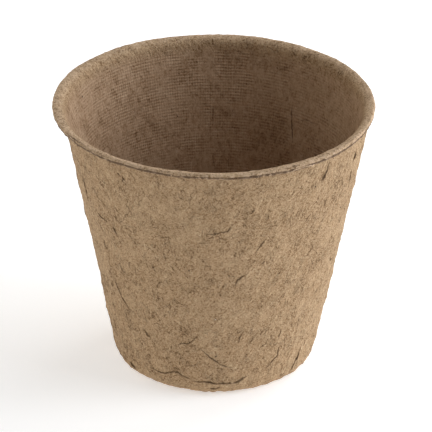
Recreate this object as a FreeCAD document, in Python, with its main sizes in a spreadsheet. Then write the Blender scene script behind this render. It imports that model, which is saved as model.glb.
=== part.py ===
"""A round peat pot: one tapered cup of pressed peat and wood pulp, made in a single moulding.

Frame: millimetres, +Z up, origin on the pot's axis in the plane that it stands on.
Every size is a cell of the sheet. The pot's half section is one sketch of straight lines, each corner
placed by an expression on those cells. It is turned about the axis, its corners are rounded, and the
drain hole is cut through the floor.
"""
import FreeCAD, Part
import os
import Sketcher

NODE = "moulded_pot"
PARTS_FOLDER = "parts"
SHEET = "Sizes"

# Driving dimensions: cell alias, value in millimetres, what it measures
SIZES = (
    ("lip_diameter", 80.0, "across the outside of the lip"),
    ("pot_height", 70.0, "from the ground to the top of the lip"),
    ("foot_diameter", 50.0, "across the wall's outer face, carried down to the ground"),
    ("wall_thickness", 1.2, "of the side wall, measured level"),
    ("floor_thickness", 1.3, "of the floor, measured upright"),
    ("lip_thickness", 1.1, "from the lip's flat underside to its top"),
    ("lip_edge_radius", 0.35, "rounding of the lip's outer edges"),
    ("lip_root_radius", 0.6, "hollow rounding where the lip leaves the wall"),
    ("mouth_flare_radius", 2.2, "rounding of the wall's inner face as it turns out into the lip"),
    ("heel_radius", 4.0, "outer rounding between the wall and the ground"),
    ("recess_diameter", 34.0, "of the shallow recess under the floor, at the ground"),
    ("recess_height", 0.8, "by which the middle of the floor is raised"),
    ("recess_run", 1.2, "level width of the slope round the recess"),
    ("recess_fillet", 0.8, "rounding of the slope round the recess, above and below"),
    ("drain_hole_diameter", 8.0, "of the hole in the middle of the floor"),
)

# Expressions on the cells, used by more than one corner
LIP_RADIUS = f"{SHEET}.lip_diameter / 2"
FOOT_RADIUS = f"{SHEET}.foot_diameter / 2"
RECESS_RADIUS = f"{SHEET}.recess_diameter / 2"
MOUTH_RADIUS = (
    f"({LIP_RADIUS} - {SHEET}.lip_edge_radius - {SHEET}.mouth_flare_radius + {SHEET}.wall_thickness)"
)
LIP_UNDERSIDE = f"({SHEET}.pot_height - {SHEET}.lip_thickness)"


def outer_radius_at(height):
    """Expression for the wall's outer radius at a height, on a straight line from foot to mouth."""
    return f"{FOOT_RADIUS} + ({MOUTH_RADIUS} - {FOOT_RADIUS}) * {height} / {SHEET}.pot_height"


def inner_radius_at(height):
    """Expression for the wall's inner radius at a height, one wall thickness further in."""
    return f"{outer_radius_at(height)} - {SHEET}.wall_thickness"


# Corners of the half section, in order round it: name, radius from the axis, height above the ground
CORNERS = (
    ("floor_centre_below", "0", f"{SHEET}.recess_height"),
    ("recess_roof", f"{RECESS_RADIUS} - {SHEET}.recess_run", f"{SHEET}.recess_height"),
    ("recess_rim", RECESS_RADIUS, "0"),
    ("heel", FOOT_RADIUS, "0"),
    ("lip_root", outer_radius_at(LIP_UNDERSIDE), LIP_UNDERSIDE),
    ("lip_lower_edge", LIP_RADIUS, LIP_UNDERSIDE),
    ("lip_upper_edge", LIP_RADIUS, f"{SHEET}.pot_height"),
    ("mouth", inner_radius_at(f"{SHEET}.pot_height"), f"{SHEET}.pot_height"),
    ("inner_heel", inner_radius_at(f"{SHEET}.floor_thickness"), f"{SHEET}.floor_thickness"),
    ("plateau_foot", RECESS_RADIUS, f"{SHEET}.floor_thickness"),
    (
        "plateau_edge",
        f"{RECESS_RADIUS} - {SHEET}.recess_run",
        f"{SHEET}.floor_thickness + {SHEET}.recess_height",
    ),
    ("floor_centre_above", "0", f"{SHEET}.floor_thickness + {SHEET}.recess_height"),
)

# The lip's underside has to hold its root's rounding: an upright wall needs one radius of it
ROOT_ROOM = f"{SHEET}.mouth_flare_radius - {SHEET}.wall_thickness"

# Roundings, in the order that they are made: feature name, radius, corners that get it
ROUNDINGS = (
    ("HeelRounding", f"{SHEET}.heel_radius", ("heel",)),
    ("InnerHeelRounding", f"{SHEET}.heel_radius - {SHEET}.wall_thickness", ("inner_heel",)),
    ("MouthFlare", f"{SHEET}.mouth_flare_radius", ("mouth",)),
    ("LipRootRounding", f"min({SHEET}.lip_root_radius; {ROOT_ROOM})", ("lip_root",)),
    ("LipEdgeRounding", f"{SHEET}.lip_edge_radius", ("lip_lower_edge", "lip_upper_edge")),
    (
        "RecessRounding",
        f"{SHEET}.recess_fillet",
        ("recess_roof", "recess_rim", "plateau_foot", "plateau_edge"),
    ),
)

SAME_PLACE = 1e-4  # how near two lengths are when they count as the same


def make_sheet(doc):
    """Writes each driving dimension into its own named cell."""
    sheet = doc.addObject("Spreadsheet::Sheet", SHEET)
    for row, (alias, value, meaning) in enumerate(SIZES, start=1):
        sheet.set(f"A{row}", meaning)
        sheet.set(f"B{row}", str(value))
        sheet.setAlias(f"B{row}", alias)
    doc.recompute()
    return sheet


def origin_plane(body, role):
    """The body's own origin plane of that role."""
    return next(plane for plane in body.Origin.OriginFeatures if plane.Role == role)


def attach(body, name, role):
    """A new empty sketch in the body, flat on one of its origin planes."""
    sketch = body.newObject("Sketcher::SketchObject", name)
    sketch.AttachmentSupport = [(origin_plane(body, role), "")]
    sketch.MapMode = "FlatFace"
    return sketch


def draw_section(doc, body):
    """Draws the half section: a closed chain of lines, each corner held at its radius and height."""
    sketch = attach(body, "HalfSection", "XZ_Plane")
    points = [
        FreeCAD.Vector(sketch.evalExpression(radius), sketch.evalExpression(height), 0)
        for _, radius, height in CORNERS
    ]
    for start, end in zip(points, points[1:] + points[:1]):
        sketch.addGeometry(Part.LineSegment(start, end), False)
    for line in range(len(points)):
        following = (line + 1) % len(points)
        sketch.addConstraint(Sketcher.Constraint("Coincident", line, 2, following, 1))
    for line, (name, radius, height) in enumerate(CORNERS):
        hold(sketch, "DistanceX", line, f"{name}_radius", points[line].x, radius)
        hold(sketch, "DistanceY", line, f"{name}_height", points[line].y, height)
    doc.recompute()
    return sketch


def hold(sketch, direction, line, name, value, expression):
    """Holds the start of a line at a distance from the origin, which follows the sheet."""
    index = sketch.addConstraint(Sketcher.Constraint(direction, -1, 1, line, 1, value))
    sketch.renameConstraint(index, name)
    sketch.setExpression(f"Constraints.{name}", expression)


def turn_section(doc, body, sketch):
    """Turns the half section once round the upright axis."""
    turned = body.newObject("PartDesign::Revolution", "TurnedShell")
    turned.Profile = sketch
    turned.ReferenceAxis = (sketch, ["V_Axis"])
    turned.Angle = 360
    doc.recompute()
    return turned


def ring_edge(shape, radius, height):
    """Name of the level circular edge of that radius and height about the axis."""
    for number, edge in enumerate(shape.Edges, start=1):
        circle = edge.Curve
        if (
            isinstance(circle, Part.Circle)
            and abs(circle.Radius - radius) < SAME_PLACE
            and abs(circle.Center.z - height) < SAME_PLACE
        ):
            return f"Edge{number}"
    raise ValueError(f"no ring of radius {radius} at height {height}")


def round_corners(doc, body, sketch, feature):
    """Rounds the rings that the section's corners left, one radius after another."""
    corner_at = {name: sketch.Geometry[i].StartPoint for i, (name, _, _) in enumerate(CORNERS)}
    for name, radius, corners in ROUNDINGS:
        edges = [ring_edge(feature.Shape, corner_at[c].x, corner_at[c].y) for c in corners]
        rounding = body.newObject("PartDesign::Fillet", name)
        rounding.Base = (feature, edges)
        rounding.setExpression("Radius", radius)
        doc.recompute()
        feature = rounding
    return feature


def cut_drain_hole(doc, body, feature):
    """Cuts the drain hole through the middle of the floor, and makes sure that it cut something."""
    before = feature.Shape.Volume
    sketch = attach(body, "DrainHoleCircle", "XY_Plane")
    bore = f"{SHEET}.drain_hole_diameter"
    circle = Part.Circle()
    circle.Radius = sketch.evalExpression(f"{bore} / 2")
    sketch.addGeometry(circle, False)
    sketch.addConstraint(Sketcher.Constraint("Coincident", 0, 3, -1, 1))
    diameter = sketch.addConstraint(Sketcher.Constraint("Diameter", 0, 2 * circle.Radius))
    sketch.renameConstraint(diameter, "diameter")
    sketch.setExpression("Constraints.diameter", bore)
    hole = body.newObject("PartDesign::Pocket", "DrainHole")
    hole.Profile = sketch
    hole.Type = "ThroughAll"
    hole.Midplane = True
    doc.recompute()
    if not hole.Shape.Volume < before:
        raise ValueError("the drain hole cut nothing")
    return hole


def make_pot(doc):
    """The pot: its half section turned, rounded and drained."""
    body = doc.addObject("PartDesign::Body", "Pot")
    body.Label = NODE
    section = draw_section(doc, body)
    shell = turn_section(doc, body, section)
    rounded = round_corners(doc, body, section, shell)
    cut_drain_hole(doc, body, rounded)
    return body


def check(doc, body):
    """Stops the build if any feature failed or the pot isn't one valid solid."""
    for thing in doc.Objects:
        if {"Invalid", "Error"} & set(thing.State):
            raise ValueError(f"{thing.Name} failed: {thing.State}")
    shape = body.Shape
    if shape.isNull() or not shape.isValid() or len(shape.Solids) != 1:
        raise ValueError(f"{body.Label} isn't one valid solid")


def main():
    doc = FreeCAD.newDocument("PeatPot")
    make_sheet(doc)
    pot = make_pot(doc)
    doc.recompute()
    check(doc, pot)
    os.makedirs(PARTS_FOLDER, exist_ok=True)
    pot.Shape.exportStep(os.path.join(PARTS_FOLDER, f"{pot.Label}.step"))
    box = pot.Shape.BoundBox
    print(f"{pot.Label}: {box.XLength:.2f} x {box.YLength:.2f} x {box.ZLength:.2f} mm")
    print(f"lowest {box.ZMin:.3f} mm, volume {pot.Shape.Volume / 1000:.2f} cm3")


main()
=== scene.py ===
# %% [markdown]
# # A peat pot, from its CAD frame to a finished render
# A peat pot is one cup of peat and wood pulp. A wire-mesh former is dipped into the slurry, water is sucked
# through the mesh, and the wet layer is pressed and dried. So the inside carries the print of the mesh,
# the outside is rough, and every edge is soft and a little torn.
# The CAD model gives the true section. Here the same section is turned again as a fine numpy surface,
# because relief, laps and fibres are shapes, and a shader alone would leave the outline too clean.

# %% Load the frame
import math
from collections import namedtuple

import bpy
import numpy as np
from mathutils import Matrix, Vector


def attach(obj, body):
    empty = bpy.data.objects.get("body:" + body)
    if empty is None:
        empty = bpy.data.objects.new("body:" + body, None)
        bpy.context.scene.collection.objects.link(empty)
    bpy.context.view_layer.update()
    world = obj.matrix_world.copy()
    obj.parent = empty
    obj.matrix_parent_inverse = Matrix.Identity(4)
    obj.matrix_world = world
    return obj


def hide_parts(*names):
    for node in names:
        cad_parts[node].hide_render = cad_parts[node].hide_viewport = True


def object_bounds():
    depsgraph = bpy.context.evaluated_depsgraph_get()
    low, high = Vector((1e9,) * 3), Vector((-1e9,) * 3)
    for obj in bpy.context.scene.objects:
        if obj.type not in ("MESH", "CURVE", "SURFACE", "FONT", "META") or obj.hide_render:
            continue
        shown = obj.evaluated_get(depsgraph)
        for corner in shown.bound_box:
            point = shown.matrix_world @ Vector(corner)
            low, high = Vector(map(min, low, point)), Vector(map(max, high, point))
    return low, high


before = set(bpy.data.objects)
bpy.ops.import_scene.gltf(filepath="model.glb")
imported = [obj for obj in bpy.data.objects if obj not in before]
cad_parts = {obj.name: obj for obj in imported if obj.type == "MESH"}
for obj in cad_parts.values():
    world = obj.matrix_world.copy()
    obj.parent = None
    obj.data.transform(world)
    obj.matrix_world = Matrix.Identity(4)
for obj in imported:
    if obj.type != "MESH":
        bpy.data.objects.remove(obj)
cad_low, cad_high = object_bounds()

MM = 0.001
NODE = "moulded_pot"
BODY = "root"
print("CAD box in mm:", [round(v / MM, 2) for v in (*cad_low, *cad_high)])

# %% [markdown]
# ## The section
# Lathe work needs only half a section. It is a closed outline of straight runs with rounded corners, and
# all its sizes are the pot's own, in millimetres. The overall ones come from the CAD box.
# An outline made of corners and radii keeps few numbers, and its arcs stay true at any spacing.

# %% Sizes of the pot, in millimetres
LIP_RADIUS = (cad_high.x - cad_low.x) / 2 / MM
POT_HEIGHT = cad_high.z / MM
FOOT_RADIUS = 25.0
WALL = 1.2
FLOOR = 1.3
LIP_THICKNESS = 1.1
LIP_EDGE = 0.35
LIP_ROOT = 0.6
FLARE = 2.2
HEEL = 4.0
RECESS_RADIUS = 17.0
RECESS_HEIGHT = 0.8
RECESS_RUN = 1.2
RECESS_FILLET = 0.8
DRAIN_RADIUS = 4.0
DRAIN_EDGE = 0.25
MOUTH_RADIUS = LIP_RADIUS - LIP_EDGE - FLARE + WALL
TAPER = (MOUTH_RADIUS - FOOT_RADIUS) / POT_HEIGHT
LIP_UNDERSIDE = POT_HEIGHT - LIP_THICKNESS


def outer_radius(height):
    """The wall's outer radius: a straight line from the foot up to the mouth."""
    return FOOT_RADIUS + TAPER * height


print(f"wall leans out by {math.degrees(math.atan(TAPER)):.1f} degrees")

# %% The corners of the section
# Each corner: radius from the axis, height, rounding, and the spacing of points on the run that follows
FLOOR_STEP, OUTER_STEP, LIP_STEP, INNER_STEP = 2.0, 0.58, 0.3, 2.4
PLATEAU = FLOOR + RECESS_HEIGHT
CORNERS = {
    "drain_below": (DRAIN_RADIUS, RECESS_HEIGHT, DRAIN_EDGE, FLOOR_STEP),
    "recess_roof": (RECESS_RADIUS - RECESS_RUN, RECESS_HEIGHT, RECESS_FILLET, FLOOR_STEP),
    "recess_rim": (RECESS_RADIUS, 0.0, RECESS_FILLET, FLOOR_STEP),
    "heel": (FOOT_RADIUS, 0.0, HEEL, OUTER_STEP),
    "lip_root": (outer_radius(LIP_UNDERSIDE), LIP_UNDERSIDE, LIP_ROOT, LIP_STEP),
    "lip_lower_edge": (LIP_RADIUS, LIP_UNDERSIDE, LIP_EDGE, LIP_STEP),
    "lip_upper_edge": (LIP_RADIUS, POT_HEIGHT, LIP_EDGE, LIP_STEP),
    "mouth": (outer_radius(POT_HEIGHT) - WALL, POT_HEIGHT, FLARE, INNER_STEP),
    "inner_heel": (outer_radius(FLOOR) - WALL, FLOOR, HEEL - WALL, FLOOR_STEP),
    "plateau_foot": (RECESS_RADIUS, FLOOR, RECESS_FILLET, FLOOR_STEP),
    "plateau_edge": (RECESS_RADIUS - RECESS_RUN, PLATEAU, RECESS_FILLET, FLOOR_STEP),
    "drain_above": (DRAIN_RADIUS, PLATEAU, DRAIN_EDGE, FLOOR_STEP),
}
ARC_STEPS_PER_TURN = 25
LEAST_ARC_STEPS = 2


def rounded_outline(corners):
    """Points round a closed outline of straight runs with rounded corners.

    A corner that turns by an angle is cut back along both its sides by its radius times the tangent of
    half that angle, and an arc of that radius joins the two cuts. The straight runs between the arcs are
    divided evenly. Returns the points and, for each, the number of the corner whose stretch it is on.
    """
    places, radii, spacings = corners[:, :2], corners[:, 2], corners[:, 3]
    onward = np.roll(places, -1, 0) - places
    onward /= np.linalg.norm(onward, axis=1)[:, None]
    inward = np.roll(onward, 1, 0)
    turns = np.arctan2(
        inward[:, 0] * onward[:, 1] - inward[:, 1] * onward[:, 0], (inward * onward).sum(1)
    )
    cuts = radii * np.tan(abs(turns) / 2)
    starts, ends = places - inward * cuts[:, None], places + onward * cuts[:, None]
    points, owners = [], []
    for i, turn in enumerate(turns):
        steps = max(LEAST_ARC_STEPS, math.ceil(abs(turn) / (2 * math.pi) * ARC_STEPS_PER_TURN))
        swing = np.linspace(0, turn, steps + 1)
        side = np.array([-inward[i, 1], inward[i, 0]]) * np.sign(turn) * radii[i]
        spoke = -side
        arc = starts[i] + side + np.stack([
            spoke[0] * np.cos(swing) - spoke[1] * np.sin(swing),
            spoke[0] * np.sin(swing) + spoke[1] * np.cos(swing),
        ], 1)
        run = starts[(i + 1) % len(turns)] - ends[i]
        pieces = max(1, round(np.linalg.norm(run) / spacings[i]))
        straight = ends[i] + run * (np.arange(1, pieces) / pieces)[:, None]
        points += [arc, straight]
        owners += [np.full(len(arc) + len(straight), i)]
    return np.concatenate(points), np.concatenate(owners)


outline, outline_owner = rounded_outline(np.array(list(CORNERS.values())))
closed = np.vstack([outline, outline[:1]])
outline_run = np.concatenate([[0], np.cumsum(np.linalg.norm(np.diff(closed, axis=0), axis=1))])
along = np.roll(outline, -1, 0) - np.roll(outline, 1, 0)
outline_normal = np.stack([along[:, 1], -along[:, 0]], 1)
outline_normal /= np.linalg.norm(outline_normal, axis=1)[:, None]
print(f"{len(outline)} points round the section, {outline_run[-1]:.1f} mm of it")

# %% [markdown]
# ## Where we are on the section
# Relief, print and lip need to know their place: outside or inside, on the wall or on the lip.
# Each of these is a soft mask from 0 to 1, worked out from the distance along the section.
# A mask by position in space would be harder, because the wall is only 1.2 mm thick, so its two faces
# lie close together.

# %% Marks along the section
def run_at(corner):
    """Distance along the section at the first point of a named corner's rounding."""
    return outline_run[np.argmax(outline_owner == list(CORNERS).index(corner))]


HEEL_START, INNER_HEEL_START = run_at("heel"), run_at("inner_heel")
LIP_ROOT_START, LIP_EDGE_START = run_at("lip_root"), run_at("lip_lower_edge")
FLARE_START = run_at("mouth")
FLARE_END = FLARE_START + FLARE * math.pi / 2
LIP_SHIFT_FADE = 8.0
PRINT_FADE = 3.0


def smooth(low, high, value):
    """Goes from 0 at low to 1 at high along the curve 3t^2 - 2t^3, and stays level beyond them."""
    t = np.clip((value - low) / (high - low), 0, 1)
    return t * t * (3 - 2 * t)


def lip_mask(run):
    """1 on the lip, 0 on the outer wall, and fading down the inner wall."""
    return smooth(LIP_ROOT_START, LIP_EDGE_START, run) * (
        1 - smooth(FLARE_START, FLARE_END + LIP_SHIFT_FADE, run)
    )


def print_mask(run):
    """1 where the wire mesh printed the inner face, from just below the flare to the drain hole."""
    return smooth(FLARE_END - PRINT_FADE / 2, FLARE_END + PRINT_FADE, run)


print(f"outer wall ends {LIP_ROOT_START:.1f} mm along, inner face begins at {FLARE_END:.1f} mm")

# %% [markdown]
# ## Noise in numpy
# Pulp settles unevenly, so almost every detail here starts from smooth random noise. Blender's own noise
# lives in shaders, and a mesh needs it as arrays. Gradient noise is short to write: each lattice corner
# gets a random slope from a hash of its whole-number place, so the same place always gives the same value.

# %% Gradient noise
HASH_FACTORS = np.array([73856093, 19349663, 83492791], np.int64)
HASH_MIX, HASH_BITS, HASH_SHIFTS = 668265263, 0xFFFFFFFF, (15, 13, 16)
SLICE_STARTS, SLICE_TOP = (1, 11, 21), 1023
NOISE_GAIN = 1.4
OCTAVE_FALL = 0.55


def lattice_slopes(cell, seed):
    """Three slopes from -1 to 1 for each lattice corner: slices of a hash of its place and the seed."""
    key = (cell * HASH_FACTORS).sum(-1) ^ (seed * HASH_MIX)
    for shift in HASH_SHIFTS:
        key = ((key ^ (key >> shift)) * HASH_MIX) & HASH_BITS
    slices = np.stack([(key >> start) & SLICE_TOP for start in SLICE_STARTS], -1)
    return slices / (SLICE_TOP / 2) - 1


def noise(points, size, seed):
    """Smooth noise, mostly within -1 to 1, whose bumps are about size across.

    The eight corners of a point's lattice cell each give slope times offset. They are blended by the fade
    curve 6t^5 - 15t^4 + 10t^3 along each axis.
    """
    place = points / size
    cell = np.floor(place).astype(np.int64)
    part = place - cell
    fade = part ** 3 * (part * (part * 6 - 15) + 10)
    total = np.zeros(points.shape[:-1])
    for corner in np.ndindex(2, 2, 2):
        weight = np.where(corner, fade, 1 - fade).prod(-1)
        total += weight * (lattice_slopes(cell + corner, seed) * (part - corner)).sum(-1)
    return total * NOISE_GAIN


def rough_noise(points, size, seed, octaves):
    """Layers of noise, each half the size and about half the height of the one before."""
    layers = [noise(points, size / 2 ** k, seed + k) * OCTAVE_FALL ** k for k in range(octaves)]
    return sum(layers)


a_line = np.linspace((0, 0, 0), (LIP_RADIUS, LIP_RADIUS, POT_HEIGHT), num=6)
print("noise along a slanting line:", noise(a_line, LIP_RADIUS, seed=1).round(2))

# %% [markdown]
# ## The relief of the wall
# Close up, the outside looks hammered: shallow hollows a few millimetres wide, drawn out a little
# from foot to lip, with finer lumps between them. The whole cup is also slightly out of round.
# One function of angle and distance along the section gives every point of the finished surface.
# The wall, the laps on it and the loose fibres all call it, so they always meet.

# %% Relief in layers
Layer = namedtuple("Layer", "height size seed octaves")
# Height of the relief and size of its bumps in millimetres, then the noise's seed and octaves
OUT_OF_ROUND = Layer(0.15, 38.0, 3, 1)
DENTS = Layer(0.21, 6.5, 11, 2)
LUMPS = Layer(0.165, 2.7, 21, 2)
NAP = Layer(0.045, 1.2, 31, 1)
LIP_NICKS = Layer(0.06, 1.5, 41, 1)
LIP_WAVE = Layer(0.18, 17.0, 51, 1)
UPRIGHT_STRETCH = np.array([1.0, 1.0, 0.5])
FOLD_MIDDLE = 0.5
# Share of the dents, lumps and nap that is left inside and on the lip, and of the slow wave lost inside
INSIDE_LEFT, LIP_LEFT, SLOW_LOSS = 0.35, 0.45, 0.5


def layer_noise(layer, points):
    """A layer's rough noise at some points, before its height."""
    return rough_noise(points, layer.size, layer.seed, layer.octaves)


def relief(points, run):
    """How far the surface stands out from the plain turned one, in millimetres.

    A slow wave makes the cup out of round, and dents, lumps and nap, all stretched upright, make it
    rough. The lump noise is folded at zero, which gives sharp creases between rounded swells. The
    printed side is calmer, as the mesh held it, and the lip has small nicks.
    """
    inside, lip = print_mask(run), lip_mask(run)
    calm = (1 - (1 - INSIDE_LEFT) * inside) * (1 - (1 - LIP_LEFT) * lip)
    drawn = points * UPRIGHT_STRETCH
    slow = OUT_OF_ROUND.height * layer_noise(OUT_OF_ROUND, points)
    dents = DENTS.height * layer_noise(DENTS, drawn)
    lumps = LUMPS.height * (2 * abs(layer_noise(LUMPS, drawn)) - FOLD_MIDDLE)
    nap = NAP.height * layer_noise(NAP, drawn)
    nicks = LIP_NICKS.height * lip * layer_noise(LIP_NICKS, points)
    return slow * (1 - SLOW_LOSS * inside) + (dents + lumps + nap) * calm + nicks


# %% [markdown]
# ### A lip that isn't true
# The real lip is thicker in some places than in others, waves up and down, and sits a little to one side
# of the body. The finished points are moved for this by smooth masks, so the surface stays whole.
# The thickness round the lip is a short table, read in front and guessed behind.

# %% The lip's uneven height and overhang
LIP_SHIFT = -0.57
SWAY = 0.30
REST_GAP = 0.04
CAMERA_SIDE = -math.pi / 2
# Thickness of the lip's edge, its torn ridge included, by azimuth: 0 faces the camera, 90 is to its right
LIP_THICKNESS_AT = np.array([
    (-180, 1.45), (-120, 1.3), (-75, 1.4), (-55, 1.35), (-32, 1.2), (-13, 1.25), (0, 1.35),
    (27, 1.45), (43, 1.5), (80, 1.4), (130, 1.3), (180, 1.45),
])
UNDER_LIP_FADE = 9.0


def lip_lift(angle, run):
    """How far the lip's underside and the wall just below it move up; down where the lip is thicker."""
    from_camera = angle - CAMERA_SIDE
    azimuth = np.degrees(np.arctan2(np.sin(from_camera), np.cos(from_camera)))
    thin = LIP_THICKNESS - np.interp(azimuth, *LIP_THICKNESS_AT.T)
    rising = smooth(LIP_ROOT_START - UNDER_LIP_FADE, LIP_ROOT_START, run)
    return thin * rising * (1 - smooth(LIP_EDGE_START, FLARE_START, run))


def sideways(run, height):
    """How far the section is moved in x: the lip by LIP_SHIFT, and the body by a half sine up its height."""
    return LIP_SHIFT * lip_mask(run) + SWAY * np.sin(math.pi * np.clip(height / POT_HEIGHT, 0, 1))


def pulp_surface(angle, run, lift=0.0):
    """Points of the finished surface at an angle about the axis and a distance along the section.

    The section gives radius, height and normal by interpolation. The turned point moves along the normal
    by relief plus lift, then sideways, and the lip waves up and down. Nothing goes below REST_GAP: the
    foot is flat where it rests, a hair above the table, so that the two faces stay apart.
    """
    wrapped = np.mod(run, outline_run[-1])
    radius, height = (np.interp(wrapped, outline_run, closed[:, i]) for i in (0, 1))
    facing = np.vstack([outline_normal, outline_normal[:1]])
    out, up = (np.interp(wrapped, outline_run, facing[:, i]) for i in (0, 1))
    circle = np.stack([np.cos(angle), np.sin(angle)], -1)
    points = np.concatenate([circle * radius[..., None], height[..., None]], -1)
    normals = np.concatenate([circle * out[..., None], up[..., None]], -1)
    normals /= np.linalg.norm(normals, axis=-1)[..., None]
    moved = points + normals * (relief(points, wrapped) + lift)[..., None]
    moved[..., 0] += sideways(wrapped, height)
    wave = LIP_WAVE.height * lip_mask(wrapped) * layer_noise(LIP_WAVE, points)
    moved[..., 2] += lip_lift(angle, wrapped) + wave
    moved[..., 2] = np.maximum(moved[..., 2], REST_GAP)
    return moved


round_lip = np.linspace(0, 2 * math.pi, num=90)
lip_top = pulp_surface(round_lip, np.full_like(round_lip, FLARE_START))[:, 2]
print(f"the top of the lip lies between {lip_top.min():.2f} and {lip_top.max():.2f} mm")

# %% [markdown]
# ## Putting arrays into a mesh
# foreach_set copies whole arrays into a mesh, which takes milliseconds where a loop over vertices takes
# seconds. One helper serves every piece: it takes points, faces and named values per point, scales
# millimetres to metres, and joins the piece to the frame.

# %% Make a piece
def make_piece(name, points, quads, caps, values):
    """A mesh object from points in millimetres, four-cornered faces, end caps and named point values."""
    mesh = bpy.data.meshes.new(name)
    corners = np.concatenate([quads.ravel(), caps.ravel()]).astype(np.int32)
    sizes = np.concatenate([np.full(len(quads), 4), np.full(len(caps), caps.shape[1])])
    starts = np.concatenate([[0], np.cumsum(sizes)[:-1]]).astype(np.int32)
    mesh.vertices.add(len(points))
    mesh.vertices.foreach_set("co", (points * MM).astype(np.float32).ravel())
    mesh.loops.add(len(corners))
    mesh.loops.foreach_set("vertex_index", corners)
    mesh.polygons.add(len(sizes))
    mesh.polygons.foreach_set("loop_start", starts)
    mesh.polygons.foreach_set("use_smooth", np.ones(len(sizes), bool))
    mesh.update(calc_edges=True)
    for value_name, numbers in values.items():
        layer = mesh.attributes.new(value_name, "FLOAT", "POINT")
        layer.data.foreach_set("value", numbers.astype(np.float32).ravel())
    piece = bpy.data.objects.new(name, mesh)
    bpy.context.scene.collection.objects.link(piece)
    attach(piece, BODY)
    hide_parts(NODE)
    triangles = int((sizes - 2).sum())
    print(f"{name}: {len(points)} points, {triangles} triangles")
    return piece


def grid_quads(rows, columns):
    """Faces of a grid that closes on itself both ways, by the numbers of its points row by row."""
    row, column = np.meshgrid(np.arange(rows), np.arange(columns), indexing="ij")
    row_on, column_on = (row + 1) % rows, (column + 1) % columns
    near, far = row * columns, row_on * columns
    return np.stack([near + column, near + column_on, far + column_on, far + column], -1).reshape(-1, 4)


NO_CAPS = np.zeros((0, 3), int)

# %% [markdown]
# ## The pot itself
# The section is closed, because it runs down the drain hole, so the turned surface is a ring with no
# pole and no seam. The grid is closer along the outer wall and the lip, which show the relief best.
# The lip's underside is painted darker, as painted shade under the overhang. How dark is stored as a value
# on the points, and the finish later reads it.

# %% Turn the pot
ANGLE_STEPS = 436
# Painted shade under the lip: how far the lip's underside is darkened in colour
UNDER_LIP_PAINTED_SHADE = 0.6
angles = np.arange(ANGLE_STEPS) * 2 * math.pi / ANGLE_STEPS
pot_angle, pot_run = np.meshgrid(angles, outline_run[:-1])
pot_points = pulp_surface(pot_angle, pot_run)


def under_lip(run):
    """1 on the lip's underside, fading out at its root and on its lower edge."""
    return smooth(LIP_ROOT_START, LIP_ROOT_START + LIP_ROOT, run) * (
        1 - smooth(LIP_EDGE_START + LIP_EDGE / 2, LIP_EDGE_START + LIP_EDGE, run)
    )


def marks_of_place(run):
    """What the finish has to know at a distance along the section: the mesh print and the paler lip edge."""
    pale_lip = smooth(LIP_EDGE_START, LIP_EDGE_START + LIP_EDGE, run) * (1 - smooth(FLARE_START, FLARE_END, run))
    return {"mesh_print": print_mask(run), "pale_lip": pale_lip}


pot = make_piece(
    "pot_wall", pot_points.reshape(-1, 3), grid_quads(*pot_angle.shape), NO_CAPS,
    {"dark_fibre_and_painted_shade": UNDER_LIP_PAINTED_SHADE * under_lip(pot_run), **marks_of_place(pot_run)},
)

# %% [markdown]
# ## Camera
# The camera stands where the photograph's outline says: a least-squares fit of lip, wall and foot gave
# a long lens almost a metre away, 28 degrees above the table and turned by a third of a degree.
# The rays through its pixels serve again below, to lay each lap where the photograph shows it.

# %% Camera and rays
VIEW_ELEVATION, VIEW_ROLL = math.radians(27.81), math.radians(0.33)
VIEW_DISTANCE = 900.0
AIM = Vector((0.18, -0.88, 38.33))
LENS = 297.7
SENSOR = 36.0
PHOTO_SIDE = 432
CLIP_NEAR, CLIP_FAR = 0.05, 20.0

level = Matrix.Rotation(math.pi / 2 - VIEW_ELEVATION, 3, "X")
turned = level @ Matrix.Rotation(VIEW_ROLL, 3, "Z")
view_right, view_up, view_back = (np.array(turned.col[i]) for i in range(3))
eye = np.array(AIM) + view_back * VIEW_DISTANCE

camera_data = bpy.data.cameras.new("photo_camera")
camera_data.lens = LENS
camera_data.sensor_width = SENSOR
camera_data.clip_start, camera_data.clip_end = CLIP_NEAR, CLIP_FAR
camera = bpy.data.objects.new("photo_camera", camera_data)
camera.matrix_world = Matrix.Translation(Vector(eye) * MM) @ turned.to_4x4()
bpy.context.scene.collection.objects.link(camera)
bpy.context.scene.camera = camera
print("camera at", [round(v, 1) for v in eye], "mm")
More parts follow.
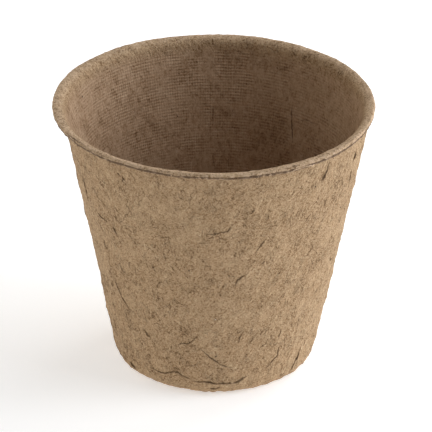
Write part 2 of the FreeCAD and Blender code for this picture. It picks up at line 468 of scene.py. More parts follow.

# %% [markdown]
# ## Laps and creases
# Where two layers of pulp met and didn't knit, one laps over the other and leaves a ragged line, and the dark
# of its gap is painted shade.
# Each lap is its own long, low form: a narrow dark strip where the gap is, a steep edge beside it, and a
# back that sinks into the wall. A painted line would vanish at a grazing angle, while a form catches the
# light from every side. The lines are traced as pixels of the photograph.

# %% Traced laps, in pixels of the photograph
FRONT_LAPS = {
    "crack_far_right_low": [(352, 167), (350, 177), (348, 188)],
    "left_hook": [(122, 182), (124, 179), (122, 175)],
    "left_hook_top": [(120, 176), (117, 173)],
    "centre_step": [(234, 224), (228, 231), (219, 233), (207, 234)],
    "left_short": [(107, 223), (103, 218), (98, 213)],
    "left_short_low": [(117, 236), (115, 230), (112, 226)],
    "left_long": [(133, 313), (127, 306), (122, 297), (118, 288), (115, 278)],
    "left_under_lip": [(89, 202), (85, 188), (82, 176)],
    "low_left": [(151, 338), (144, 329)],
    "low_centre": [(198, 336), (189, 344), (178, 344)],
    "low_slant": [(233, 368), (220, 365), (209, 357), (199, 348)],
    "upper_right": [(254, 207), (254, 210), (250, 214)],
    "right_slant": [(265, 240), (260, 246), (256, 252)],
    "right_short": [(265, 261), (261, 264)],
    "middle_curl": [(247, 274), (241, 277), (237, 282), (235, 289)],
    "low_middle": [(243, 332), (240, 337), (239, 343)],
    "low_right": [(281, 329), (278, 339)],
    "low_right_long": [(279, 346), (277, 355), (270, 364), (265, 369)],
    "low_right_short": [(266, 344), (260, 348)],
    "foot_right": [(301, 347), (297, 357), (290, 371)],
    "nick_right": [(330, 257), (330, 261)],
    "foot_front_left": [(192, 381), (186, 376), (181, 375), (178, 372), (166, 373), (158, 371), (150, 367)],
}
OPEN_LAPS = {
    "crack_right": [(330, 159), (327, 168), (324, 175), (321, 182)],
    "crack_far_right": [(357, 147), (355, 156), (353, 162)],
    "foot_left": [(137, 369), (130, 361)],
    "foot_front": [(250, 375), (243, 378), (237, 383), (219, 384), (206, 382), (190, 381)],
    "foot_branch": [(225, 383), (219, 387), (209, 389)],
}
BACK_LAPS = {
    "inner_crease": [(293, 104), (292, 120), (293, 132), (293, 146)],
}
FAINT_BACK_LAPS = {
    "inner_branch": [(297, 122), (304, 119), (318, 124)],
    "inner_faint": [(214, 105), (213, 124)],
    "inner_low": [(213, 150), (215, 170)],
}
LIP_TEARS = {
    "upper_left": [(65, 131), (72, 136), (80, 141), (85, 144)],
    "grey_right": [(283, 172), (303, 166), (321, 161)],
    "low_right": [(284, 168), (300, 164)],
}


def pixel_rays(pixels):
    """Unit directions from the eye through pixels of the square photograph, whose rows count down."""
    across, down = (np.array(pixels, float).T - PHOTO_SIDE / 2) * SENSOR / PHOTO_SIDE / LENS
    rays = -view_back + across[:, None] * view_right - down[:, None] * view_up
    return rays / np.linalg.norm(rays, axis=1)[:, None]


# %% [markdown]
# ### From a pixel to a place on the wall
# Each pixel is a ray from the eye, and a lap belongs where its rays meet the wall. The ray is tried at
# many even steps against the wall's radius at each height, all rays at once. A formula for a straight
# cone would be exact for the wall alone, but not for the rounded lip and the sway of the body.

# %% Follow the rays to the wall
outer_side = (outline_run[:-1] >= HEEL_START) & (outline_run[:-1] <= LIP_ROOT_START)
inner_side = (outline_run[:-1] >= FLARE_END) & (outline_run[:-1] <= INNER_HEEL_START)
lip_side = (outline_run[:-1] >= LIP_EDGE_START) & (outline_run[:-1] <= FLARE_START)
RAY_REACH, RAY_STEP = 60.0, 0.05
RAY_SAMPLES = np.arange(-RAY_REACH, RAY_REACH, RAY_STEP)
print(f"{len(RAY_SAMPLES)} places are tried along each ray")


def on_wall(pixels, side, outward):
    """Angle and distance along the section where the rays through some pixels meet one side of the wall.

    Along each ray, the distance from the axis is compared with the wall's radius at that height. The
    first sample that is inside the outer wall, or the last that is inside the inner one, is the place.
    """
    order = np.argsort(outline[side, 1])
    radii, heights = outline[side][order].T
    runs = outline_run[:-1][side][order]
    samples = eye + pixel_rays(pixels)[:, None] * (VIEW_DISTANCE + RAY_SAMPLES)[None, :, None]
    samples[..., 0] -= np.interp(samples[..., 2], heights, sideways(runs, heights))
    radius = np.interp(samples[..., 2], heights, radii)
    within = (np.hypot(samples[..., 0], samples[..., 1]) < radius) & (samples[..., 2] > 0)
    place = within.argmax(1) if outward else within.shape[1] - 1 - within[:, ::-1].argmax(1)
    hit = samples[np.arange(len(place)), place]
    return np.arctan2(hit[:, 1], hit[:, 0]), np.interp(hit[:, 2], heights, runs)


# %% [markdown]
# ### The form of a lap
# A lap is a closed section carried along its line. The section is given in shares: across, of the gap's
# width on one side and of the back's reach on the other; up, of the lap's height. Its width and height
# fade towards both ends, and noise makes the line ragged. All laps of a family are one array.

# %% Carry the section along each line
# Section points: share across (negative is the gap), share up, height above the wall in mm, and darkness,
# which is painted shade in the gap and under the back
LAP_SECTION_SHARES = np.array([
    (-1.0, 0.0, -0.10, 0.0), (-0.85, 0.0, 0.03, 0.3), (-0.6, 0.0, 0.05, 0.9), (-0.08, 0.0, 0.05, 1.0),
    (0.0, 0.55, 0.05, 0.9), (0.05, 1.0, 0.05, 0.1), (0.25, 1.0, 0.02, 0.0), (0.6, 0.55, 0.0, 0.0),
    (1.0, 0.0, -0.10, 0.0), (0.5, 0.0, -0.30, 0.0), (0.0, 0.0, -0.30, 0.5),
])
TINY = 1e-9


def section_radius(run):
    """Distance from the axis at a distance along the section."""
    return np.interp(run, outline_run, closed[:, 0])


def carry(angle, run, offset, lift):
    """Closed forms carried along lines on the wall: arrays of points, faces, end caps and runs.

    angle and run have one row per form and one column per step. offset and lift add the places round the
    section: sideways from the line, and above the wall. Sideways is the line's own normal in the unrolled
    wall, where an angle is worth its radius.
    """
    forms, steps, sides = offset.shape
    radius = section_radius(run)
    step_across, step_up = np.gradient(angle, axis=1) * radius, np.gradient(run, axis=1)
    length = np.hypot(step_across, step_up) + TINY
    side_across, side_up = -step_up / length, step_across / length
    form_angle = angle[..., None] + offset * (side_across / radius)[..., None]
    form_run = run[..., None] + offset * side_up[..., None]
    points = pulp_surface(form_angle, form_run, lift).reshape(-1, 3)
    first = (np.arange(forms) * steps * sides)[:, None, None, None]
    row, column = np.meshgrid(np.arange(steps - 1), np.arange(sides), indexing="ij")
    near, on = row * sides, (column + 1) % sides
    faces = np.stack([near + column, near + sides + column, near + sides + on, near + on], -1)
    start_cap = first[:, 0, 0] + np.arange(sides)
    end_cap = first[:, 0, 0] + (steps - 1) * sides + np.arange(sides)[::-1]
    caps = np.concatenate([start_cap, end_cap])
    return points, (first + faces).reshape(-1, 4), caps, form_run.reshape(-1)


# %% Ragged laps
# Noise of the line's edge, of its course and of the gap's width: strength, and size in mm
RAGGED, RAGGED_SIZE = 0.20, 1.1
MEANDER, MEANDER_SIZE = 0.22, 2.6
GAPE, GAPE_SIZE = 0.8, 1.5
GAPE_LIMITS = (0.25, 1.8)
END_SHARE, END_SINK = 0.12, 0.06


def carry_laps(angle, run, gap, reach, height, dimness, seed, raggedness=1.0):
    """Laps along lines on the wall: arrays of points, faces, caps, runs and darkness.

    The edge follows the line with ragged noise, and the gap widens and narrows along it. Width and
    height fade towards the ends with the root of a half sine.
    """
    share = np.linspace(0, 1, angle.shape[1])
    fade = np.maximum(np.sin(math.pi * share) ** 0.5, END_SHARE)[None, :, None]
    spine = pulp_surface(angle, run)
    ragged = RAGGED * rough_noise(spine, RAGGED_SIZE, seed, 2)
    ragged = (ragged + MEANDER * noise(spine, MEANDER_SIZE, seed + 2))[..., None] * raggedness
    gape = GAPE * raggedness * rough_noise(spine, GAPE_SIZE, seed + 1, 2)
    gape = np.clip(1 + gape, *GAPE_LIMITS)[..., None]
    across_share, up_share, above, dark = LAP_SECTION_SHARES.T
    gap, reach, height, dimness = (size[:, None, None] for size in (gap, reach, height, dimness))
    width = np.where(across_share < 0, gap * gape, reach)
    offset = across_share * width * fade + ragged * fade
    lift = up_share * height * fade * gape + above - END_SINK * (1 - fade)
    # Painted shade: the gap is coloured dark, less where it closes up and towards the ends
    darkness = dark * dimness * np.minimum(gape, 1) * fade
    return *carry(angle, run, offset, lift), darkness.reshape(-1)


# %% [markdown]
# ### Laying the traced laps
# A traced line has a few points and a lap needs many, evenly spaced, or its form would kink. So the line
# is divided evenly by its length, and a weighted running mean eases its corners. The line is first
# carried on past both ends, or the mean would pull them in.

# %% Lay the traced laps
TRACED_STEPS = 64
EASING_REACH = 3
hump = np.hanning(2 * EASING_REACH + 3)
EASING = hump[1:-1] / hump.sum()


def eased(line):
    """The running mean of a line of numbers, which is carried on by its mirror image past both ends."""
    longer = np.pad(line, EASING_REACH, "reflect", reflect_type="odd")
    return np.convolve(longer, EASING, "valid")


def resample(angle, run):
    """The line through some places on the wall, divided evenly, with its corners eased."""
    stretch = np.hypot(np.diff(angle) * section_radius(run)[1:], np.diff(run))
    length = np.concatenate([[0], np.cumsum(stretch)])
    even = np.linspace(0, length[-1], TRACED_STEPS)
    return [eased(np.interp(even, length, line)) for line in (angle, run)]


def traced_family(lines, side, outward, sizes, seed):
    """Laps along traced pixel lines, all of one gap, reach, height and darkness."""
    paths = np.array([resample(*on_wall(pixels, side, outward)) for pixels in lines.values()])
    return carry_laps(paths[:, 0], paths[:, 1], *(np.full(len(paths), size) for size in sizes), seed)


# Each family: its lines, the side they are on, whether it faces outward, its sizes (the gap, reach and
# height in millimetres, and the darkness of the painted shade in the gap), and the seed of its noise
TRACED_FAMILIES = (
    (FRONT_LAPS, outer_side, True, (0.30, 1.9, 0.16, 0.75), 71),
    (OPEN_LAPS, outer_side, True, (0.50, 2.4, 0.22, 0.9), 73),
    (BACK_LAPS, inner_side, False, (0.5, 1.2, 0.08, 0.85), 75),
    (FAINT_BACK_LAPS, inner_side, False, (0.4, 1.0, 0.03, 0.4), 76),
    (LIP_TEARS, lip_side, True, (0.4, 0.4, 0.05, 0.7), 85),
)
front, wide, back, faint_back, tears = (traced_family(*family) for family in TRACED_FAMILIES)
print(sum(len(family[0]) for family in TRACED_FAMILIES), "traced laps")


def join_families(*families):
    """One set of arrays from several, with the face numbers moved on past the points before them."""
    before = np.cumsum([0] + [len(family[0]) for family in families[:-1]])
    points, quads, caps, runs, dark = zip(*families)
    quads = [faces + first for faces, first in zip(quads, before)]
    caps = [faces + first for faces, first in zip(caps, before)]
    return [np.concatenate(part) for part in (points, quads, caps, runs, dark)]


# %% [markdown]
# ### The torn edge of the lip
# The rim of a pulp cup is rough where the wet layer ended, so a ragged ridge runs round the lip, just above
# its lower edge. Its dark line is partly the torn edge's own darker pulp and partly painted shade under the
# ridge. It is one long lap that goes once round the pot, made by the same function as the others. Its ends
# overlap at the back, where the join shows least.

# %% Run the torn edge round the lip
TORN_STEPS = 1500
TORN_OVERLAP = 0.02
TORN_ABOVE_EDGE = 0.85
# Gap, reach and height in mm, and darkness: the torn edge's own darker pulp together with painted shade under
# the ridge
TORN_SIZES = (0.75, 0.35, 0.05, 0.9)
TORN_SEED, TORN_RAGGEDNESS = 87, 0.6
far_side = CAMERA_SIDE + math.pi
torn_angle = far_side + np.linspace(-TORN_OVERLAP, 2 * math.pi + TORN_OVERLAP, TORN_STEPS)[None]
torn_run = np.full_like(torn_angle, LIP_EDGE_START + TORN_ABOVE_EDGE)
torn_sizes = [np.array([size]) for size in TORN_SIZES]
torn = carry_laps(torn_angle, torn_run, *torn_sizes, TORN_SEED, TORN_RAGGEDNESS)
print(f"the torn edge has {len(torn[0])} points")

# %% [markdown]
# ### Laps all round
# The photograph shows the front, and the rest of the pot is made the same way. Seeded random lines
# continue the pattern, most of them steep: fine creases of 1 to 4 mm all over, laps of 3 to 10 mm round
# the back, and a row of long ones that carries the foot's lap round the back. The seed is fixed, so
# every run gives the same pot.

# %% Scatter laps
RANDOM = np.random.default_rng(20)
WALL_SPAN = LIP_ROOT_START - HEEL_START
# Pairs are limits: of the share of the way up the wall, of lengths and sizes in mm, and of the darkness of
# painted shade in the gap.
# The lean from the upright, its spread and its bend from step to step are in radians
FINE_CREASES = {
    "steps": 18, "share_up": (0.09, 0.97), "lengths": (0.7, 3.6), "gaps": (0.14, 0.24),
    "reaches": (0.6, 1.5), "heights": (0.03, 0.08), "dimnesses": (0.12, 0.45), "lean": 0.0,
    "spread": 0.5, "bend": 0.22, "seed": 77,
}
LAPS_BEHIND = {
    "steps": 40, "share_up": (0.12, 0.9), "lengths": (2.0, 8.0), "gaps": (0.22, 0.36),
    "reaches": (1.2, 2.2), "heights": (0.05, 0.12), "dimnesses": (0.4, 0.8), "lean": 0.0,
    "spread": 0.55, "bend": 0.12, "seed": 79,
}
FOOT_LAPS_BEHIND = {
    "steps": 44, "share_up": (0.045, 0.075), "lengths": (7.0, 13.0), "gaps": (0.35, 0.55),
    "reaches": (1.8, 2.6), "heights": (0.14, 0.22), "dimnesses": (0.7, 0.9), "lean": -math.pi / 2,
    "spread": 0.06, "bend": 0.1, "seed": 81,
}
CREASE_COUNT, BEHIND_COUNT, FOOT_COUNT = 420, 46, 9
BEHIND_FROM, BEHIND_TO = 0.1, math.pi - 0.1
FOOT_FROM, FOOT_TO = -0.25, math.pi + 0.35


def wandering_lines(angle, run, lean, length, steps, bend):
    """Lines from a middle point each way along a lean, whose heading drifts like a smooth random walk."""
    drift = RANDOM.normal(0, bend, (len(angle), steps)).cumsum(1)
    heading = lean[:, None] + drift - drift.mean(1, keepdims=True)
    stride = (length / (steps - 1))[:, None]
    across, up = (np.cumsum(f(heading) * stride, 1) for f in (np.sin, np.cos))
    across -= across.mean(1, keepdims=True)
    up -= up.mean(1, keepdims=True)
    return angle[:, None] + across / section_radius(run)[:, None], run[:, None] + up


def scattered_family(
    angle, steps, share_up, lengths, gaps, reaches, heights, dimnesses, lean, spread, bend, seed
):
    """Laps along wandering lines at some angles about the axis, with heights and sizes drawn by chance.

    The evenly drawn length is squared, which makes short laps more common than long ones.
    """
    count = len(angle)
    run = HEEL_START + RANDOM.uniform(*share_up, count) * WALL_SPAN
    leans = RANDOM.normal(lean, spread, count)
    length = RANDOM.uniform(*lengths, count) ** 2 / lengths[1]
    lines = wandering_lines(angle, run, leans, length + lengths[0], steps, bend)
    sizes = [RANDOM.uniform(*limits, count) for limits in (gaps, reaches, heights, dimnesses)]
    return carry_laps(*lines, *sizes, seed)


scattered = scattered_family(RANDOM.uniform(0, 2 * math.pi, CREASE_COUNT), **FINE_CREASES)
around_back = scattered_family(RANDOM.uniform(BEHIND_FROM, BEHIND_TO, BEHIND_COUNT), **LAPS_BEHIND)
foot_round = scattered_family(np.linspace(FOOT_FROM, FOOT_TO, FOOT_COUNT), **FOOT_LAPS_BEHIND)

# %% Make the pieces of laps
PIECES_OF_LAPS = {
    "pulp_laps": (front, wide, back, faint_back, around_back, foot_round),
    "torn_lip": (tears, torn),
    "fine_creases": (scattered,),
}
lap_pieces = []
for name, families in PIECES_OF_LAPS.items():
    *arrays, runs, dark = join_families(*families)
    lap_pieces.append(make_piece(name, *arrays, {"dark_fibre_and_painted_shade": dark, **marks_of_place(runs)}))

# %% [markdown]
# ### Loose fibres
# Hairs of wood fibre stand clear of the pulp all over. They are the smallest forms here, so each is a short
# five-sided tube, carried along its line by the same function as the laps. It rises in a low arch, and
# both its ends are sunk in the wall.

# %% Grow the fibres
FIBRES, FIBRE_STEPS, FIBRE_SIDES = 1100, 7, 5
FIBRE_RADII, FIBRE_LENGTHS = (0.03, 0.055), (0.8, 3.2)
FIBRE_ARCH, FIBRE_SINK = 0.16, 0.03
FIBRE_LEAN, FIBRE_BEND = 0.9, 0.3
PALE_SHARE, FIBRE_TONE = 0.7, 0.5

fibre_run = RANDOM.uniform(HEEL_START + HEEL, FLARE_START, FIBRES)
fibre_angle = RANDOM.uniform(0, 2 * math.pi, FIBRES)
leans, lengths = RANDOM.normal(0, FIBRE_LEAN, FIBRES), RANDOM.uniform(*FIBRE_LENGTHS, FIBRES)
fibre_lines = wandering_lines(fibre_angle, fibre_run, leans, lengths, FIBRE_STEPS, FIBRE_BEND)
around = -np.arange(FIBRE_SIDES) * 2 * math.pi / FIBRE_SIDES
thick = RANDOM.uniform(*FIBRE_RADII, FIBRES)[:, None, None]
arch = RANDOM.uniform(0, FIBRE_ARCH, FIBRES)[:, None, None]
rise = arch * np.sin(math.pi * np.linspace(0, 1, FIBRE_STEPS))[None, :, None] - FIBRE_SINK
whole = np.zeros((FIBRES, FIBRE_STEPS, FIBRE_SIDES))
*fibre_arrays, fibre_runs = carry(*fibre_lines, thick * np.cos(around) + whole, thick * np.sin(around) + rise)
is_pale = (RANDOM.uniform(0, 1, FIBRES) < PALE_SHARE)[:, None, None]
fibre_values = {
    "pale": (whole + FIBRE_TONE * is_pale).ravel(),
    "dark_fibre_and_painted_shade": (whole + FIBRE_TONE * ~is_pale).ravel(),
    **marks_of_place(fibre_runs),
}
fibres = make_piece("loose_fibres", *fibre_arrays, fibre_values)

# %% [markdown]
# ## The finish: pressed pulp
# The colour is peat brown with paler wood fibres. Seen close, it is a felt of short strokes and low
# ridges, with slow stains, dark peat specks and a few rust-red or white bits. All of it is worked out
# from Object coordinates in millimetres, so it has the same scale on every piece, which a picture
# wrapped round the pot would not have. One small class lets shader maths be written as plain expressions.

# %% Shader expressions
class Signal:
    """A socket that can be added, multiplied and so on; each operator adds one Math node."""

    def __init__(self, nodes, socket):
        self.nodes, self.socket = nodes, socket

    def math(self, operation, *others):
        """The result of a Math node whose first value is this one."""
        return self.nodes.add("ShaderNodeMath", {"operation": operation}, [self, *others])

    def __add__(self, other):
        return self.math("ADD", other)

    def __sub__(self, other):
        return self.math("SUBTRACT", other)

    def __rsub__(self, other):
        return (self * -1) + other

    def __mul__(self, other):
        return self.math("MULTIPLY", other)

    __radd__, __rmul__ = __add__, __mul__

    def ramp(self, low, high):
        """0 at low and 1 at high, eased, and level beyond them; low may be the larger."""
        settings = {"interpolation_type": "SMOOTHSTEP"}
        if low < high:
            return self.nodes.add("ShaderNodeMapRange", settings, {"Value": self, 1: low, 2: high})
        return 1 - self.nodes.add("ShaderNodeMapRange", settings, {"Value": self, 1: high, 2: low})


class Finish:
    """A material whose nodes are added one call at a time."""

    def __init__(self, name):
        self.material = bpy.data.materials.new(name)
        self.material.use_nodes = True
        self.tree = self.material.node_tree
        self.tree.nodes.clear()

    def add(self, kind, settings=None, inputs=None, output=0):
        """Adds a node: its settings first, then its sockets from a list or a dict of name to value."""
        node = self.tree.nodes.new(kind)
        for name, value in (settings or {}).items():
            setattr(node, name, value)
        pairs = inputs.items() if isinstance(inputs, dict) else enumerate(inputs or [])
        for key, value in pairs:
            if isinstance(value, Signal):
                self.tree.links.new(value.socket, node.inputs[key])
            else:
                node.inputs[key].default_value = value
        return Signal(self, node.outputs[output])

    def show(self, surface):
        """Joins a shader to the material's output."""
        output = self.tree.nodes.new("ShaderNodeOutputMaterial")
        self.tree.links.new(surface.socket, output.inputs["Surface"])
        print(f"{self.material.name}: {len(self.tree.nodes)} nodes")


def linear(red, green, blue):
    """A colour written in sRGB steps from 0 to 255, as the linear values that sockets hold."""
    share = np.array([red, green, blue]) / 255
    bright = np.where(share > 0.04045, ((share + 0.055) / 1.055) ** 2.4, share / 12.92)
    return (*bright, 1.0)


# %% Colours and places
PEAT_DEEP, PEAT_BROWN = linear(110, 82, 55), linear(159, 129, 95)
PULP_TAN, FIBRE_PALE = linear(186, 157, 123), linear(214, 191, 157)
PRINT_TINT = (0.93, 0.92, 1.0, 1.0)
SPECK_DARK, SPECK_RUST, SPECK_WHITE = linear(66, 48, 36), linear(160, 106, 68), linear(222, 214, 196)
# Dark brown for painted shade in the laps' gaps and under the lip, and the dark loose fibres' own colour
PAINTED_SHADE_AND_DARK_FIBRE = linear(66, 44, 27)
PALE_LIP_COLOUR = linear(209, 181, 152)

pulp = Finish("pressed_pulp")
in_metres = pulp.add("ShaderNodeTexCoord", output="Object")
place = pulp.add("ShaderNodeVectorMath", {"operation": "SCALE"}, {"Vector": in_metres, "Scale": 1 / MM})
across, deep, upward = (pulp.add("ShaderNodeSeparateXYZ", {}, [place], output=axis) for axis in "XYZ")


def point_value(name):
    """A value that a piece's points carry."""
    return pulp.add("ShaderNodeAttribute", {"attribute_name": name}, output="Fac")


inside, pale_lip, dark_fibre_and_painted_shade, pale = (point_value(name) for name in ("mesh_print", "pale_lip", "dark_fibre_and_painted_shade", "pale"))

# %% [markdown]
# ### Felt, strands, ridges and stains
# Pulp is a felt of fibres that lie every way but mostly upright. Noise gives its clumps, and noise drawn
# out along a leaning line gives its strands, so four leans together look like crossed fibres. A texture of
# single hairs would be truer, but at this distance they are less than a pixel wide.

# %% Patterns of the pulp
# Each pattern: size of its bumps in mm, then the noise's detail, roughness, distortion and stretch
FELT = (0.42, 2.0, 0.6, 0.5)
FLECKS = (1.5, 2.0, 0.6, 1.5, (1.0, 1.0, 0.7))
STAINS = (8.0, 3.0, 0.6, 0.8)
CLOUDS = (30.0, 2.0, 0.5, 0.0)
STRANDS = (0.40, 1.0, 0.5, 0.7, (1.0, 1.0, 0.22))
RIDGES = (1.9, 1.5, 0.55, 1.2, (1.0, 1.0, 0.38))
# A lean is the way sideways for each millimetre up, at the foot; strands show between these noise values
STRAND_LEANS, RIDGE_LEAN = (-1.3, -0.45, 0.4, 1.5), -0.22
PALE_STRAND, DARK_STRAND = (0.58, 0.70), (0.43, 0.31)


def grain(size, detail=2.0, roughness=0.5, distortion=0.0, stretch=(1.0, 1.0, 1.0), at=place):
    """Noise from 0 to 1 whose bumps are about size millimetres across, drawn out along any axis."""
    scaled = pulp.add("ShaderNodeVectorMath", {"operation": "MULTIPLY"}, [at, stretch])
    sockets = {"Vector": scaled, "Scale": 1 / size, "Detail": detail, "Roughness": roughness}
    return pulp.add("ShaderNodeTexNoise", {}, {**sockets, "Distortion": distortion})


def tilted(lean):
    """The place turned about the axis by an angle that grows with height, so upright noise leans."""
    twist = {"Vector": place, "Angle": upward * (lean / FOOT_RADIUS)}
    return pulp.add("ShaderNodeVectorRotate", {"rotation_type": "Z_AXIS"}, twist)


def strands(lean):
    """Pale strands as 1 and dark ones as -1, all with one lean."""
    waves = grain(*STRANDS, tilted(lean))
    return waves.ramp(*PALE_STRAND) - waves.ramp(*DARK_STRAND)


felt, flecks, stains, clouds = (grain(*pattern) for pattern in (FELT, FLECKS, STAINS, CLOUDS))
ridges = grain(*RIDGES, tilted(RIDGE_LEAN))
fibrous = sum(strands(lean) for lean in STRAND_LEANS)

# %% [markdown]
# ### Fine creases and specks
# Between the modelled laps are creases too thin to model, and specks of bark and peat. The creases darken the
# colour as painted shade and dent the nap. A crease is where a wavy noise crosses its middle, which is always
# a line, and a second noise keeps only some of it.
# A speck is the round middle of a Voronoi cell, and each cell's random colour decides whether it has one.

# %% Creases and specks
# Each kind of crease: size of its waves in mm, half its width in steps of the noise, and cover
CREASES, HAIR_CREASES = (3.2, 0.017, 0.50), (1.6, 0.024, 0.48)
CREASE_WAVES = (1.0, 0.5, 2.2, (1.0, 1.0, 0.5))
PATCH_SCALE, PATCH_NOISE, PATCH_EDGE = 1.7, (2.0, 0.6, 0.5), 0.06
# Share of its width at which a crease or a speck is full, and the soft edge of a cell's lot
SOLID_CREASE, SOLID_SPECK, LOT_EDGE = 0.2, 0.5, 0.01


def creased(size, width, cover):
    """Fine wandering lines: where distorted noise crosses its middle, kept only in part by larger noise."""
    waves = grain(size, *CREASE_WAVES)
    patches = grain(size * PATCH_SCALE, *PATCH_NOISE)
    lines = (waves - 0.5).math("ABSOLUTE").ramp(width, width * SOLID_CREASE)
    return lines * patches.ramp(cover, cover + PATCH_EDGE)


def specks(size, radius, share):
    """Round specks of a radius: Voronoi cells of a size, of which only a share holds one."""
    settings = {"feature": "F1"}
    sockets = {"Vector": place, "Scale": 1 / size, "Randomness": 1.0}
    distance = pulp.add("ShaderNodeTexVoronoi", settings, sockets, output="Distance")
    cell_colour = pulp.add("ShaderNodeTexVoronoi", settings, sockets, output="Color")
    lot = pulp.add("ShaderNodeSeparateColor", {}, [cell_colour])
    spot = distance.ramp(radius / size, radius / size * SOLID_SPECK)
    return spot * lot.ramp(share, share - LOT_EDGE)


creases, hair_creases = creased(*CREASES), creased(*HAIR_CREASES)

# %% [markdown]
# ### The print of the wire mesh
# The mesh left level rows and upright columns all over the inside, clear in some places and lost in
# others. On the wall, a sine of the height gives the rows, and a sine of the angle about the axis gives
# the columns, whose number stays the same all the way up. On the floor both are sines of x and y.

# %% Rows and columns of the mesh
COLUMNS = 330
ROW_PITCH = 0.78
ROW_SHARE, COLUMN_SHARE, FLOOR_SHARE = 0.7, 0.3, 0.5
WANDER_SIZE, WANDER_DETAIL, WANDER = 6.0, 1.0, 1.6
PRINT_PATCHES, CLEAR_PRINT = (4.0, 2.0), (0.3, 0.62)
FLOOR_PRINT = (FLOOR + 3.0, FLOOR + 1.5)
radians_per_mm = 2 * math.pi / ROW_PITCH
wander = grain(WANDER_SIZE, WANDER_DETAIL) * WANDER
rows = (upward * radians_per_mm + wander).math("SINE")
columns = (across.math("ARCTAN2", deep) * COLUMNS + wander).math("SINE")
floor_rows = (across * radians_per_mm).math("SINE")
floor_columns = (deep * radians_per_mm).math("SINE")
wall_weave = rows * ROW_SHARE + columns * COLUMN_SHARE
floor_weave = floor_rows * FLOOR_SHARE + floor_columns * FLOOR_SHARE
on_floor = upward.ramp(*FLOOR_PRINT)
weave = wall_weave * (1 - on_floor) + floor_weave * on_floor
weave = weave * inside * grain(*PRINT_PATCHES).ramp(*CLEAR_PRINT)
narrowest, widest = (2 * math.pi * (outer_radius(z) - WALL) / COLUMNS for z in (0, POT_HEIGHT))
print(f"mesh print: rows every {ROW_PITCH} mm, columns every {narrowest:.2f} to {widest:.2f} mm")

# %% [markdown]
# ### Colour
# The patterns are first added up to one number, the shade, from dark peat at 0 to pale fibre at 1, and
# only then turned into colour by three blends, one over the other. Mixing in a colour for each pattern
# would hide how strong each is. The fine creases darken the shade as painted shade. The inside is tinted
# and the lip's edge and top made paler, and then specks, painted shade in the gaps and under the lip with
# the dark fibres, and pale fibres are laid on.

# %% Shade, from the patterns
MIDDLE_SHADE = 0.54
FELT_SHADE, STRAND_SHADE, RIDGE_SHADE, FLECK_SHADE = 1.4, 0.11, 0.2, 0.24
STAIN_SHADE, CLOUD_SHADE, WEAVE_SHADE = 0.28, 0.15, 0.13
CREASE_PAINTED_SHADE, HAIR_CREASE_PAINTED_SHADE = 0.34, 0.10
# On the printed side: the share of felt and creases that is lost, and what flecks and stains gain
PRINT_LOSS, FLECK_GAIN, STAIN_GAIN = 0.6, 0.7, 0.25

rough_side = 1 - inside * PRINT_LOSS
shade = (felt - 0.5) * FELT_SHADE + fibrous * STRAND_SHADE + (ridges - 0.5) * RIDGE_SHADE
shade = shade * rough_side + (flecks - 0.5) * (FLECK_SHADE + inside * FLECK_GAIN)
shade = MIDDLE_SHADE + shade + (stains - 0.5) * (STAIN_SHADE + inside * STAIN_GAIN)
shade = shade + (clouds - 0.5) * CLOUD_SHADE + weave * WEAVE_SHADE
# Painted shade: the fine creases darken the shade
shade = shade - (creases * CREASE_PAINTED_SHADE + hair_creases * HAIR_CREASE_PAINTED_SHADE) * rough_side

# %% Colour, from the shade
BROWN_STRETCH, TAN_STRETCH, PALE_STRETCH = (0.0, 0.5), (0.3, 0.75), (0.7, 1.15)
PALE_LIP_FELT, PALE_LIP_FLECKS, PALE_LIP_START = 1.8, 2.2, 1.55
PAINTED_SHADE_AND_FIBRE_COVER, PAINTED_SHADE_AND_FIBRE_FELT = 0.72, 0.5
# Specks: size of their cells and radius in mm, share of cells that hold one, cover and colour
SPECKS = (
    (3.4, 0.30, 0.16, 1.0, SPECK_DARK),
    (7.0, 0.35, 0.05, 0.8, SPECK_RUST),
    (5.0, 0.2, 0.05, 1.0, SPECK_WHITE),
)


def blend_colour(share, first, second, blend_type="MIX"):
    """A Mix of two colours by a share from 0 to 1."""
    settings = {"data_type": "RGBA", "blend_type": blend_type, "clamp_factor": True}
    return pulp.add("ShaderNodeMix", settings, {0: share, 6: first, 7: second}, output=2)


colour = blend_colour(shade.ramp(*BROWN_STRETCH), PEAT_DEEP, PEAT_BROWN)
colour = blend_colour(shade.ramp(*TAN_STRETCH), colour, PULP_TAN)
colour = blend_colour(shade.ramp(*PALE_STRETCH), colour, FIBRE_PALE)
colour = blend_colour(inside, colour, PRINT_TINT, "MULTIPLY")
# The lip's edge and top are made paler in colour, in patches that follow the felt and flecks
lip_paling = pale_lip * (felt * PALE_LIP_FELT + flecks * PALE_LIP_FLECKS - PALE_LIP_START)
colour = blend_colour(lip_paling, colour, PALE_LIP_COLOUR)
for size, radius, share, cover, speck in SPECKS:
    colour = blend_colour(specks(size, radius, share) * cover, colour, speck)
# Painted shade in the laps' gaps and under the lip, and the dark fibres' own colour, laid over the rest
colour = blend_colour(dark_fibre_and_painted_shade * (PAINTED_SHADE_AND_FIBRE_COVER + felt * PAINTED_SHADE_AND_FIBRE_FELT), colour, PAINTED_SHADE_AND_DARK_FIBRE)
colour = blend_colour(pale, colour, FIBRE_PALE)

# %% [markdown]
# ### Nap and roughness
# What is finer than the surface's own grid is left to a bump: felt, strands, ridges, folds and creases
# outside, and mostly the print of the wire mesh inside. The heights are shares of NAP_HEIGHT. Pulp
# scatters light like paper, so it is very rough, and a little less so on the raised felt.

# %% Roughness and nap
NAP_HEIGHT = 0.26
FELT_RISE, STRAND_RISE, RIDGE_RISE, FOLD_RISE = 0.5, 0.10, 2.0, 1.0
CREASE_DEPTH, HAIR_CREASE_DEPTH, WEAVE_RISE = 0.7, 0.3, 0.24
PRINT_SMOOTH, PALE_LIP_SMOOTH = 0.75, 0.4
ROUGHNESS, FELT_SHINE, SPECULAR = 0.94, 0.12, 0.22

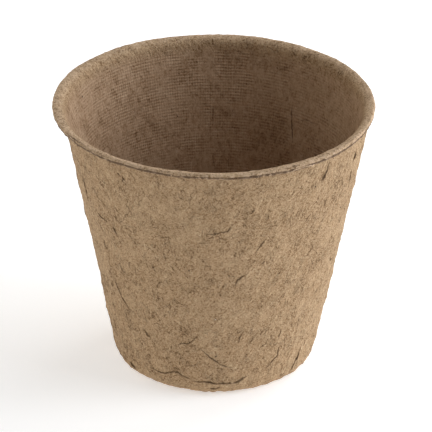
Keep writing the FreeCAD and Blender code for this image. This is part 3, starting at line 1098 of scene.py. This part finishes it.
folded = (flecks - 0.5).math("ABSOLUTE")
height = felt * FELT_RISE + fibrous * STRAND_RISE + ridges * RIDGE_RISE + folded * FOLD_RISE
height = height - creases * CREASE_DEPTH - hair_creases * HAIR_CREASE_DEPTH
height = height * (1 - inside * PRINT_SMOOTH) * (1 - pale_lip * PALE_LIP_SMOOTH) + weave * WEAVE_RISE
nap = {"Strength": 1.0, "Distance": NAP_HEIGHT * MM, "Height": height}
normal = pulp.add("ShaderNodeBump", {}, nap, output="Normal")
shader = pulp.add("ShaderNodeBsdfPrincipled", {}, {
    "Base Color": colour, "Roughness": ROUGHNESS - felt * FELT_SHINE, "Normal": normal,
    "Specular IOR Level": SPECULAR,
})
pulp.show(shader)
for piece in (pot, *lap_pieces, fibres):
    piece.data.materials.append(pulp.material)

# %% [markdown]
# ## Floor
# A white sweep with a soft shadow, as in a catalogue. The floor adds a little glow for camera rays only,
# so it reads white without more light on the pot. Its back is clear, so the pot can be seen from below.

# %% Floor
FLOOR_SIDE = 6.0
FLOOR_GLOW = 0.45
FLOOR_PAPER, WHITE = (0.84, 0.84, 0.84, 1.0), (1.0, 1.0, 1.0, 1.0)
floor_mesh = bpy.data.meshes.new("floor")
half = FLOOR_SIDE / 2
floor_corners = [(-half, -half, 0), (half, -half, 0), (half, half, 0), (-half, half, 0)]
floor_mesh.from_pydata(floor_corners, [], [(0, 1, 2, 3)])
floor = bpy.data.objects.new("floor", floor_mesh)
bpy.context.scene.collection.objects.link(floor)

paper = Finish("floor_paper")
plain = paper.add("ShaderNodeBsdfDiffuse", {}, {"Color": FLOOR_PAPER})
seen = paper.add("ShaderNodeLightPath", output="Is Camera Ray")
glow = paper.add("ShaderNodeEmission", {}, {"Color": WHITE, "Strength": seen * FLOOR_GLOW})
lit = paper.add("ShaderNodeAddShader", {}, [plain, glow])
from_below = paper.add("ShaderNodeNewGeometry", output="Backfacing")
clear = paper.add("ShaderNodeBsdfTransparent")
paper.show(paper.add("ShaderNodeMixShader", {}, [from_below, lit, clear]))
floor.data.materials.append(paper.material)

# %% [markdown]
# ## Light
# Soft light from all sides, a little warm on the left and cool on the right. The lamps stand beside and
# behind the pot, because light that grazes the wall brings its relief out and light from the camera's
# side would flatten it. A light table lies between the floor and the foot and lights the pot from below.

# %% Lamps
WARM, NEUTRAL, COOL = (1.0, 0.96, 0.87), (1.0, 1.0, 1.0), (0.965, 1.0, 1.05)
TABLE_DISTANCE = (POT_HEIGHT / 2 - REST_GAP / 4) * MM
# Each lamp: azimuth (0 is the camera's side, 90 its right) and elevation in degrees, distance and side in
# metres, power in watts, and tint
LAMPS = {
    "low_right": (95, 12, 1.1, 0.6, 6.4, COOL),
    "high_right": (75, 38, 1.1, 0.6, 3.9, COOL),
    "back_right": (135, 40, 1.1, 0.6, 3.1, NEUTRAL),
    "left": (-95, 18, 1.1, 0.7, 3.1, WARM),
    "back_left": (-140, 10, 1.1, 0.6, 3.0, WARM),
    "low_back_right": (140, 10, 1.1, 0.6, 2.0, COOL),
    "light_table": (0, -90, TABLE_DISTANCE, 2.0, 7.3, NEUTRAL),
}
WORLD_STRENGTH = 0.26


def softbox(name, azimuth, elevation, distance, side, power, tint):
    """A square area lamp that looks at the middle of the pot."""
    data = bpy.data.lights.new(name, "AREA")
    data.shape, data.size, data.energy, data.color = "SQUARE", side, power, tint
    lamp = bpy.data.objects.new(name, data)
    turn, rise = math.radians(azimuth), math.radians(elevation)
    outward = Vector((math.sin(turn) * math.cos(rise), -math.cos(turn) * math.cos(rise), math.sin(rise)))
    target = Vector((0, 0, POT_HEIGHT / 2 * MM))
    facing = outward.to_track_quat("Z", "Y").to_matrix().to_4x4()
    lamp.matrix_world = Matrix.Translation(target + outward * distance) @ facing
    bpy.context.scene.collection.objects.link(lamp)
    return lamp


lamps = {name: softbox(name, *settings) for name, settings in LAMPS.items()}
lamps["light_table"].visible_camera = False
world = bpy.data.worlds.new("studio")
bpy.context.scene.world = world
world.use_nodes = True
background = world.node_tree.nodes["Background"]
background.inputs["Color"].default_value = WHITE
background.inputs["Strength"].default_value = WORLD_STRENGTH
bpy.context.scene.view_settings.view_transform = "Standard"
print(f"{len(lamps)} lamps, {sum(lamp.data.energy for lamp in lamps.values()):.1f} W in all")
